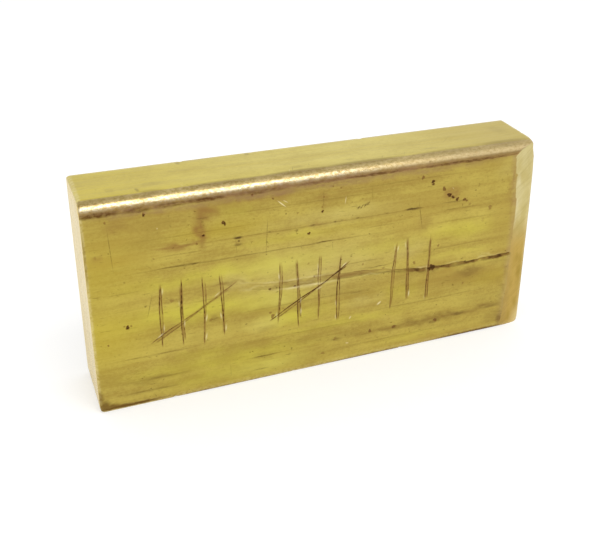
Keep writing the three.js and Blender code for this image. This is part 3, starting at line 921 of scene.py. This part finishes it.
class Finish(Nodes):
    """The node tree of one finish of the brass. Its places are millimetres from the left front foot."""

    def __init__(self, name):
        self.material = bpy.data.materials.new(name)
        self.material.use_nodes = True
        super().__init__(self.material.node_tree)
        self.shader = self.tree.nodes["Principled BSDF"]
        self.shader.inputs["Metallic"].default_value = 1.0
        self.row_place = self.add("TexCoord").outputs["Object"]
        start = (LEFT_SHIFT, BAR_THICKNESS / 2, 0)
        self.place = self.scaled(self.row_place, (1 / MM, 1 / MM, 1 / MM), start)
        axes = self.add("SeparateXYZ")
        self.feed(axes.inputs[0], self.place)
        self.x, self.y, self.z = axes.outputs

    def scaled(self, vector, factors, start=(0, 0, 0)):
        node = self.add("VectorMath", operation="MULTIPLY_ADD")
        for socket, value in zip(node.inputs, (vector, factors, start)):
            self.feed(socket, value)
        return node.outputs[0]

    def noise(self, waves, detail=3.0, roughness=0.5, turned=(0, 0, 0), start=(0, 0, 0)):
        """Noise with so many waves to the millimetre along each axis, once the axes are turned."""
        stretched = self.add("Mapping", vector_type="TEXTURE")
        self.feed(stretched.inputs["Vector"], self.row_place)
        stretched.inputs["Location"].default_value = start
        stretched.inputs["Rotation"].default_value = turned
        stretched.inputs["Scale"].default_value = [MM / count for count in waves]
        node = self.add("TexNoise")
        self.feed(node.inputs["Vector"], stretched.outputs["Vector"])
        node.inputs["Scale"].default_value = 1.0
        node.inputs["Detail"].default_value = detail
        node.inputs["Roughness"].default_value = roughness
        return node.outputs["Fac"]

    def shaken(self, waves, reaches, detail=3.0):
        """The place, moved about along and up the bar by as much as the two reaches, in millimetres."""
        shifts = [0.0, 0.0, 0.0]
        for axis, reach in zip((0, 2), reaches):
            if reach:
                swing = self.noise(waves, detail, start=(0.2 + 0.3 * axis, 0, 0.5))
                shifts[axis] = self.math("MULTIPLY_ADD", swing, 2 * reach, -reach)
        return self.scaled(self.place, (1, 1, 1), self.combined(shifts))

    def combined(self, values):
        """Three values as a vector. Its node comes after theirs, because a finish may hold only so
        many values at once and works them out in that order."""
        node = self.add("CombineXYZ")
        for socket, value in zip(node.inputs, values):
            self.feed(socket, value)
        return node.outputs[0]

    def measure(self, operation, *vectors):
        node = self.add("VectorMath", operation=operation)
        for socket, vector in zip(node.inputs, vectors):
            self.feed(socket, vector)
        return node.outputs["Value"]

    def smudge(self, place, centre, reach, strength, hard=0.3):
        """A soft oval round the centre."""
        shares = self.scaled(place, [1 / r for r in reach], [-c / r for c, r in zip(centre, reach)])
        return self.step(self.measure("LENGTH", shares), 1.0, hard, 0.0, strength)

    def gather(self, make_share, rows):
        """The densest of the shares made from the rows, each joined on as it is made."""
        total = 0.0
        for row in rows:
            total = self.math("MAXIMUM", total, make_share(*row))
        return total

    def layer(self, name):
        return self.add("Attribute", attribute_name=name).outputs["Fac"]

    def emboss(self, height, depth):
        """Bumps the surface by the depth, in millimetres, where the height is 1."""
        node = self.add("Bump")
        node.inputs["Strength"].default_value = 1.0
        node.inputs["Distance"].default_value = depth * MM
        self.feed(node.inputs["Height"], height)
        self.feed(self.shader.inputs["Normal"], node.outputs["Normal"])


def top_smudge(finish, place, x, y, half_length, half_width, strength):
    return finish.smudge(place, (x, y, BAR_HEIGHT), (half_length, half_width, FACE_DEPTH), strength)


def drawn_line(finish, place, start, end, height, half_width, strength, face_at=0):
    centre = ((start + end) / 2, face_at, height)
    return finish.smudge(place, centre, ((end - start) / 2, FACE_DEPTH, half_width), strength)


def placed_upright(rows, y):
    """Scratches over the front or the back, as from and to in space."""
    return [((x, y, z), (to_x, y, to_z), *rest) for x, z, to_x, to_z, *rest in rows]


def placed_on_top(rows):
    return [((x, y, BAR_HEIGHT), (to_x, to_y, BAR_HEIGHT), *rest) for x, y, to_x, to_y, *rest in rows]


def scratch(finish, place, start, end, half_width, strength):
    """A straight line across a face, thinnest at its ends."""
    start = np.array(start)
    end = np.array(end)
    halfway = (start + end) / 2
    span = end - start
    length = np.linalg.norm(span)
    on_top = min(start[2], end[2]) > BAR_HEIGHT - 0.1
    outwards = np.array([0, 0, 1.0]) if on_top else np.array([0, 1.0, 0])
    aside = np.cross(outwards, span / length)
    shares = [
        finish.math("SUBTRACT", finish.measure("DOT_PRODUCT", place, row), row @ halfway)
        for row in (span * 2 / length ** 2, aside / half_width, outwards / FACE_DEPTH)
    ]
    return finish.step(finish.measure("LENGTH", finish.combined(shares)), 1.0, 0.3, 0.0, strength)


def rolled_round(finish, speckle):
    """Where the rolled edge is, and its colour: pale and dotted, tan over the shoulder, and ochre at its
    foot. The tan shoulder and the ochre foot are partly tarnish and partly painted shade that narrows the
    lamp's highlight between them. It is paler on the left, where it is rubbed most, and that paler colour
    also whitens the highlight there: partly a painted highlight."""
    reach = (EVERYWHERE, ROLLED_EDGE_RADIUS, ROLLED_EDGE_RADIUS)
    away = finish.smudge(finish.place, (0, 0, BAR_HEIGHT), reach, 1.0, hard=0.8)
    rolled_edge = finish.times(away, finish.step(finish.y, 2.9, 2.3))
    # Partly painted highlight: the paler colour on the left whitens the lamp's highlight there.
    pale_roll = finish.blend(finish.step(finish.x, 48.0, 80.0), colour("DED3B6"), colour("D8C294"))
    dotted = finish.step(speckle, finish.step(finish.x, 60.0, 100.0, 0.36, 0.20), 0.62)
    skin = finish.blend(dotted, colour("B89E6C"), pale_roll)
    rise = finish.step(finish.x, 62.0, 42.0, 0.0, 0.13)
    # Painted shade: the tan over the shoulder darkens the round above the lamp's highlight.
    shoulder = finish.step(finish.math("ADD", finish.z, rise), 49.72, 50.15)
    tan_roll = finish.blend(dotted, colour("A68E58"), colour("CAB484"))
    skin = finish.blend(shoulder, skin, tan_roll)
    # Partly painted shade: the ochre foot darkens the round below the highlight, into the dark band.
    foot = finish.step(finish.z, 49.4, 48.5, 0.0, 0.8)
    return rolled_edge, finish.blend(foot, skin, colour("BC9250"))


class Grain:
    """What the rolls left along the bar, and the uneven bloom over it."""

    def __init__(self, finish):
        self.broad = finish.noise((0.010, 0.3, 0.3), 3.0)
        self.fine = finish.noise((0.04, 1.1, 1.1), 4.0, 0.6)
        self.hair = finish.noise((0.12, 4.5, 4.5), 3.0, 0.6)
        self.mottle = finish.noise((0.10, 0.2, 0.24), 5.0, 0.6)
        self.speckle = finish.noise((1.2, 1.8, 1.8), 4.0, 0.7)
        tone = finish.math("MULTIPLY", self.broad, 0.28)
        tone = finish.math("MULTIPLY_ADD", self.fine, 0.20, tone)
        tone = finish.math("MULTIPLY_ADD", self.mottle, 0.27, tone)
        self.tone = finish.math("MULTIPLY_ADD", self.speckle, 0.25, tone)


def bare_skin(finish, grain):
    """The rolled faces' colour, under all lines, tarnish and grime, with the painted sheen and lip
    highlights of the pale patches in it.
    """
    skin = finish.blend(finish.step(grain.tone, 0.39, 0.61), colour("A89044"), colour("C6B358"))
    uneven = finish.step(grain.mottle, 0.3, 0.65, 0.6, 1.1)
    skin = finish.blend(finish.times(finish.layer("dull"), uneven), skin, colour("A88C42"))
    skin = finish.blend(finish.times(finish.layer("clean"), uneven), skin, colour("CDC44C"))
    skin = finish.blend(finish.layer("yellow"), skin, colour("C4B03C"))
    # Partly painted light: a sheen over the middle of the front and highlights along the seam's lips.
    skin = finish.blend(finish.times(finish.layer("pale"), uneven), skin, colour("D8CB84"))
    skin = finish.blend(finish.times(finish.layer("beside"), uneven, 0.42), skin, colour("A98A68"))
    skin = finish.blend(finish.step(grain.hair, 0.5, 0.8, 0.0, 0.14), skin, colour("86703A"))
    return finish.blend(finish.step(grain.speckle, 0.58, 0.74, 0.0, 0.3), skin, colour("86703A"))


def handled_and_lit_top(finish, tone):
    """Where the top is, and its colour. It is handled most and has been rubbed paler, and the paler colour
    also stands in for the brighter light that the top catches: partly painted light.
    """
    top = finish.step(finish.z, BAR_HEIGHT - 0.9, BAR_HEIGHT - 0.1)
    light_top = finish.blend(finish.step(finish.x, 5.0, 50.0), colour("D6C450"), colour("DCCC6C"))
    light_top = finish.blend(finish.step(finish.x, 70.0, 108.0), light_top, colour("CAB65C"))
    return top, finish.blend(finish.step(tone, 0.32, 0.60), colour("C0AC4A"), light_top)


def drawn_marks(finish, mottle, top, wavering, jagged):
    """The lines that the rolls drew, the dashes and scratches, and the specks between them."""
    broken = finish.step(finish.noise((0.45, 1.0, 3.0), 4.0, 0.65), 0.3, 0.6, 0.25, 1.0)
    lines = finish.gather(functools.partial(drawn_line, finish, wavering), ROLLING_LINES)
    back_line = functools.partial(drawn_line, finish, wavering, face_at=BAR_THICKNESS)
    lines = finish.times(finish.densest(lines, finish.gather(back_line, BACK_LINES)), broken)
    dashes = finish.gather(functools.partial(drawn_line, finish, jagged), DASHES)
    rows = placed_upright(FRONT_SCRATCHES, 0.0) + placed_on_top(TOP_SCRATCHES)
    rows += placed_upright(BACK_SCRATCHES, BAR_THICKNESS)
    scratches = finish.gather(functools.partial(scratch, finish, wavering), rows)
    nicks = finish.times(finish.densest(dashes, scratches), broken)
    scattered = finish.step(finish.noise((0.30, 2.0, 2.0), 2.0), 0.62, 0.76, 0.0, 0.5)
    specks = finish.step(finish.noise((1.0, 1.3, 1.3), 2.0), 0.66, 0.76, 0.0, 0.7)
    scattered = finish.times(finish.densest(scattered, specks), finish.math("MULTIPLY_ADD", top, -0.7, 1.0))
    scattered = finish.times(scattered, finish.step(mottle, 0.44, 0.6, 0.3, 1.0))
    return lines, nicks, scattered


def face_stains(finish):
    """The brown stains, and their tint, which turns redder towards the rolled edge."""
    wisps = finish.step(finish.noise((0.5, 1.2, 1.6), 5.0, 0.65), 0.25, 0.62, 0.45, 1.0)
    stains = finish.times(finish.layer("stain"), wisps)
    tint = finish.blend(finish.step(finish.z, 26.0, 40.0), colour("866A36"), colour("92683C"))
    return stains, finish.blend(finish.step(finish.z, 46.0, 47.0), tint, colour("8C625C"))


def edge_tarnish_and_shade(finish, jagged):
    """The tarnish caught along edges and at corners, but for the arris rubbed bare at the left foot. Painted
    shade is in it: a dark reflection along the foot of the rolled edge and a shadow along the bottom edge.
    """
    edge = finish.gather(functools.partial(drawn_line, finish, jagged), EDGE_TARNISH_AND_DARK_REFLECTION)
    flecked = finish.step(finish.noise((0.9, 1.0, 2.2), 3.0, 0.65), 0.36, 0.60, 0.62, 1.10)
    edge = finish.times(edge, flecked)
    corners = finish.gather(functools.partial(finish.smudge, jagged), CORNER_TARNISH_AND_SHADOW)
    bare_arris = finish.times(finish.step(finish.z, 0.42, 0.12), finish.step(finish.x, 16.0, 11.0), 0.8)
    return finish.densest(edge, finish.times(corners, finish.math("SUBTRACT", 1.0, bare_arris)))


def clean_metal_and_glints(finish, speckle, rolled_edge, edge):
    """Rubbed edges and broken skin, but not the rolled edge and what is tarnished, with the painted glints
    of the marks and a painted highlight along the arrises.
    """
    rub_and_highlight = finish.times(finish.layer("rub_and_highlight"), finish.step(speckle, 0.35, 0.6, 0.1, 0.8))
    rub_and_highlight = finish.times(rub_and_highlight, finish.math("SUBTRACT", 1.0, finish.math("MAXIMUM", rolled_edge, edge)))
    rows = placed_upright(FRONT_BRIGHT_SCRATCHES, 0.0) + placed_on_top(TOP_BRIGHT_SCRATCHES)
    bright = finish.gather(functools.partial(scratch, finish, finish.place), rows)
    return finish.densest(bright, finish.times(rub_and_highlight, 0.6), finish.layer("glint"))


def rolled_skin(finish):
    """The rolled faces' colour, roughness and height."""
    grain = Grain(finish)
    skin = bare_skin(finish, grain)

    # The back has lain on benches and is evener and brighter.
    back = finish.step(finish.y, BAR_THICKNESS - 1.5, BAR_THICKNESS - 0.3)
    skin = finish.blend(finish.times(back, 0.6), skin, colour("C6B256"))
    top, handled_and_lit = handled_and_lit_top(finish, grain.tone)
    # The top's paler colour is partly painted light.
    skin = finish.blend(finish.times(top, 0.9), skin, handled_and_lit)
    rolled_edge, edge_skin = rolled_round(finish, grain.speckle)
    skin = finish.blend(finish.times(rolled_edge, 0.85), skin, edge_skin)

    wavering = finish.shaken((0.05, 0.3, 0.05), (0.0, 0.35))
    jagged = finish.shaken((0.9, 1, 0.9), (0.3, 0.28))
    lines, nicks, scattered = drawn_marks(finish, grain.mottle, top, wavering, jagged)
    stains, stain_tint = face_stains(finish)
    edge = edge_tarnish_and_shade(finish, jagged)
    top_tarnish_and_shade = finish.gather(functools.partial(top_smudge, finish, jagged), TOP_TARNISH_AND_SHADE)

    grime = finish.times(finish.layer("grime"), finish.step(grain.speckle, 0.25, 0.6, 0.75, 1.0))
    skin = finish.blend(stains, skin, stain_tint)
    skin = finish.blend(finish.times(finish.densest(lines, scattered), 0.8), skin, colour("5E4A20"))
    # Painted shade over the upper side of the rolled edge, with real stains on the top.
    skin = finish.blend(finish.times(top_tarnish_and_shade, 0.7), skin, colour("7C6432"))
    skin = finish.blend(finish.times(nicks, 0.9), skin, colour("4E3820"))
    # Partly painted shade: the dark reflection under the rolled edge and the shadow along the bottom edge,
    # over real tarnish.
    skin = finish.blend(finish.times(edge, 0.85), skin, colour("603E1C"))
    grime_tint = finish.blend(finish.step(grime, 0.45, 0.85), colour("7A4E2C"), colour("482E14"))
    skin = finish.blend(finish.step(grime, 0.0, 0.9), skin, grime_tint)
    bright = clean_metal_and_glints(finish, grain.speckle, rolled_edge, edge)
    # Partly painted highlight: glints on burrs and lips and light along the arrises, over rubbed metal.
    skin = finish.blend(bright, skin, colour("E6D8A4"))

    gloss = finish.step(grain.fine, 0.3, 0.7, 0.36, 0.46)
    gloss = finish.math("MULTIPLY_ADD", finish.densest(stains, lines, grime), 0.14, gloss)
    gloss = finish.math("MULTIPLY_ADD", rolled_edge, -0.09, gloss)
    gloss = finish.math("MULTIPLY_ADD", back, -0.09, gloss)
    gloss = finish.math("MULTIPLY_ADD", bright, -0.12, gloss)

    height = finish.math("MULTIPLY", grain.fine, 0.5)
    height = finish.math("MULTIPLY_ADD", grain.hair, 0.2, height)
    worn_rough = finish.step(finish.x, 98.0, 68.0, 0.2, 0.9)
    ruggedness = finish.math("MULTIPLY_ADD", rolled_edge, worn_rough, 0.25)
    height = finish.math("MULTIPLY_ADD", grain.speckle, ruggedness, height)
    return skin, gloss, height


def filed_skin(finish):
    """The filed bevel's colour, roughness and height."""
    strokes = finish.noise((0.15, 0.5, 3.6), 4.0, 0.6, turned=(0, math.radians(-38), 0))
    mottle = finish.noise((0.35, 0.35, 0.16), 4.0)
    lower = finish.step(finish.z, 33.0, 22.0)
    clean = finish.blend(finish.step(mottle, 0.35, 0.7), colour("D1C38B"), colour("C6B676"))
    worn = finish.blend(finish.step(mottle, 0.35, 0.7), colour("BEA052"), colour("AA8E3E"))
    skin = finish.blend(lower, clean, worn)
    inner = finish.step(finish.x, BEVEL_INNER_EDGE + 2.0, BEVEL_INNER_EDGE + 0.2)
    skin = finish.blend(finish.times(inner, lower, 0.45), skin, colour("B69A5C"))
    knocked = finish.smudge(finish.place, (BAR_LENGTH, 0.6, 1.0), (3.6, 1.5, 6.0), 0.8, hard=0.0)
    skin = finish.blend(knocked, skin, colour("DCC68A"))
    # Painted highlight along the bevel's inner edge.
    painted_bevel_highlight = finish.smudge(
        finish.place, (BEVEL_INNER_EDGE + 0.4, 0.1, 36.5), (1.2, 1.5, 9.0), 0.5, hard=0.0,
    )
    skin = finish.blend(finish.times(painted_bevel_highlight, finish.step(mottle, 0.3, 0.55)), skin, colour("F2E9C8"))
    skin = finish.blend(finish.step(strokes, 0.45, 0.75, 0.0, 0.24), skin, colour("94803E"))
    # Partly painted highlight along the bevel's edges, over rubbed metal.
    skin = finish.blend(finish.times(finish.layer("rub_and_highlight"), 0.3), skin, colour("DCCB98"))
    return skin, finish.step(strokes, 0.3, 0.7, 0.34, 0.46), strokes


def worked_brass():
    """The long faces: rolled, and filed where the bevel is."""
    finish = Finish("worked_brass")
    rolled, rolled_gloss, rolled_height = rolled_skin(finish)
    filed, filed_gloss, filed_height = filed_skin(finish)
    share = finish.step(finish.layer("filed"), 0.3, 0.7)
    finish.feed(finish.shader.inputs["Base Color"], finish.blend(share, rolled, filed))
    finish.feed(finish.shader.inputs["Roughness"], finish.between(share, rolled_gloss, filed_gloss))
    finish.emboss(finish.between(share, rolled_height, filed_height), 0.02)
    return finish.material


def sawn_brass():
    """The ends: bare metal, scored straight up and down by two passes of the saw's teeth."""
    finish = Finish("sawn_brass")
    first = finish.noise((0.1, 6.5, 0.03), 3.0, 0.6, turned=(math.radians(1.5), 0, 0))
    second = finish.noise((0.1, 4.6, 0.05), 3.0, 0.6, turned=(math.radians(-4), 0, 0))
    passes = finish.noise((0.1, 0.5, 0.02), 2.0)
    across = finish.math("MULTIPLY_ADD", finish.z, 0.026, finish.y)
    ridge = finish.math("SINE", finish.math("MULTIPLY", across, 2 * math.pi / SAW_PITCH))
    skin = finish.blend(finish.step(passes, 0.35, 0.65), colour("D6BC66"), colour("DEC67A"))
    # Partly painted light and shade: the saw ridges' crests are paler, over dirt kept in their grooves.
    skin = finish.blend(finish.step(ridge, 0.0, 0.9, 0.0, 0.22), skin, colour("EEDC9E"))
    skin = finish.blend(finish.step(first, 0.5, 0.66, 0.0, 0.45), skin, colour("F2E6B8"))
    skin = finish.blend(finish.step(second, 0.52, 0.7, 0.0, 0.36), skin, colour("A88C4A"))
    finish.feed(finish.shader.inputs["Base Color"], skin)
    finish.feed(finish.shader.inputs["Roughness"], finish.step(first, 0.35, 0.6, 0.34, 0.2))
    finish.emboss(finish.math("MULTIPLY_ADD", ridge, 0.25, finish.math("SUBTRACT", first, second)), 0.04)
    return finish.material


# ---- Studio ----

FLOOR_HALF_SIZE = 3.0
FLOOR_GREY = 0.6
FLOOR_GLOW = 0.45


def seen_rays(nodes):
    """1 for camera, glossy and transmission rays, 0 for the rest."""
    path = nodes.add("LightPath")
    rays = ("Is Camera Ray", "Is Glossy Ray", "Is Transmission Ray")
    return nodes.densest(*(path.outputs[name] for name in rays))


def studio_floor():
    """A pale floor, which glows a little for what sees it, so that it is white and keeps its shadow."""
    bm = bmesh.new()
    bmesh.ops.create_grid(bm, x_segments=1, y_segments=1, size=FLOOR_HALF_SIZE)
    mesh = bpy.data.meshes.new("studio_floor")
    bm.to_mesh(mesh)
    bm.free()
    floor = bpy.data.objects.new("studio_floor", mesh)
    bpy.context.scene.collection.objects.link(floor)
    material = bpy.data.materials.new("pale_floor")
    material.use_nodes = True
    nodes = Nodes(material.node_tree)
    sockets = nodes.tree.nodes["Principled BSDF"].inputs
    sockets["Base Color"].default_value = (FLOOR_GREY, FLOOR_GREY, FLOOR_GREY, 1)
    sockets["Roughness"].default_value = 1.0
    sockets["Specular IOR Level"].default_value = 0.0
    sockets["Emission Color"].default_value = (1, 1, 1, 1)
    nodes.feed(sockets["Emission Strength"], nodes.times(seen_rays(nodes), FLOOR_GLOW))
    mesh.materials.append(material)


def studio_world():
    """White behind the object; the room is duller in front of it and overhead."""
    world = bpy.data.worlds.new("studio_world")
    bpy.context.scene.world = world
    world.use_nodes = True
    nodes = Nodes(world.node_tree)
    background = nodes.tree.nodes["Background"].inputs
    background["Color"].default_value = (1, 1, 1, 1)
    axes = nodes.add("SeparateXYZ")
    nodes.feed(axes.inputs[0], nodes.add("TexCoord").outputs["Generated"])
    across, up = axes.outputs[1], axes.outputs[2]
    front = nodes.step(across, -0.2, -0.8)
    low = nodes.step(up, 0.44, 0.14, 0.0, 0.55)
    front_light = nodes.math("SUBTRACT", 1.0, nodes.times(front, low))
    room = nodes.times(front_light, nodes.step(up, 0.6, 0.92, 1.0, 0.8))
    camera_ray = nodes.add("LightPath").outputs["Is Camera Ray"]
    nodes.feed(background["Strength"], nodes.between(camera_ray, room, 1.0))


def softbox(name, aim, direction, distance, size, radiance):
    light = bpy.data.lights.new(name, "AREA")
    light.shape = "RECTANGLE"
    light.size, light.size_y = size
    light.energy = radiance * math.pi * size[0] * size[1]
    lamp = bpy.data.objects.new(name, light)
    away = Vector(direction).normalized()
    lamp.location = Vector(aim) + away * distance
    lamp.rotation_euler = away.to_track_quat("Z", "Y").to_euler()
    bpy.context.scene.collection.objects.link(lamp)


# The camera's lens, its place in the bar's millimetres, and its angles in degrees.
LENS = 54.62
CAMERA_PLACE = (-24.45, -175.71, 119.68)
CAMERA_TURN = -22.661
CAMERA_DIP = 25.975
CAMERA_ROLL = 0.156


def camera():
    """Stands close in front of the left end and looks down along the bar."""
    data = bpy.data.cameras.new("camera")
    data.sensor_width = 36.0
    data.lens = LENS
    view = bpy.data.objects.new("camera", data)
    place = (Vector(CAMERA_PLACE) - Vector((LEFT_SHIFT, BAR_THICKNESS / 2, 0))) * MM
    turn = Matrix.Rotation(math.radians(CAMERA_TURN), 4, "Z")
    tilt = Matrix.Rotation(math.radians(90 - CAMERA_DIP), 4, "X")
    roll = Matrix.Rotation(math.radians(CAMERA_ROLL), 4, "Z")
    view.matrix_world = Matrix.Translation(place) @ turn @ tilt @ roll
    bpy.context.scene.collection.objects.link(view)
    bpy.context.scene.camera = view


bpy.context.scene.view_settings.view_transform = "Standard"

bar = ingot_bar()
for material in (worked_brass(), sawn_brass()):
    bar.data.materials.append(material)
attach(bar, "root")
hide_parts("ingot")

camera()
studio_floor()
studio_world()
softbox(
    "key_softbox", aim=(0, 0, 0.03), direction=(0.1, -0.5, 0.82), distance=0.9, size=(0.45, 0.33),
    radiance=5.0,
)
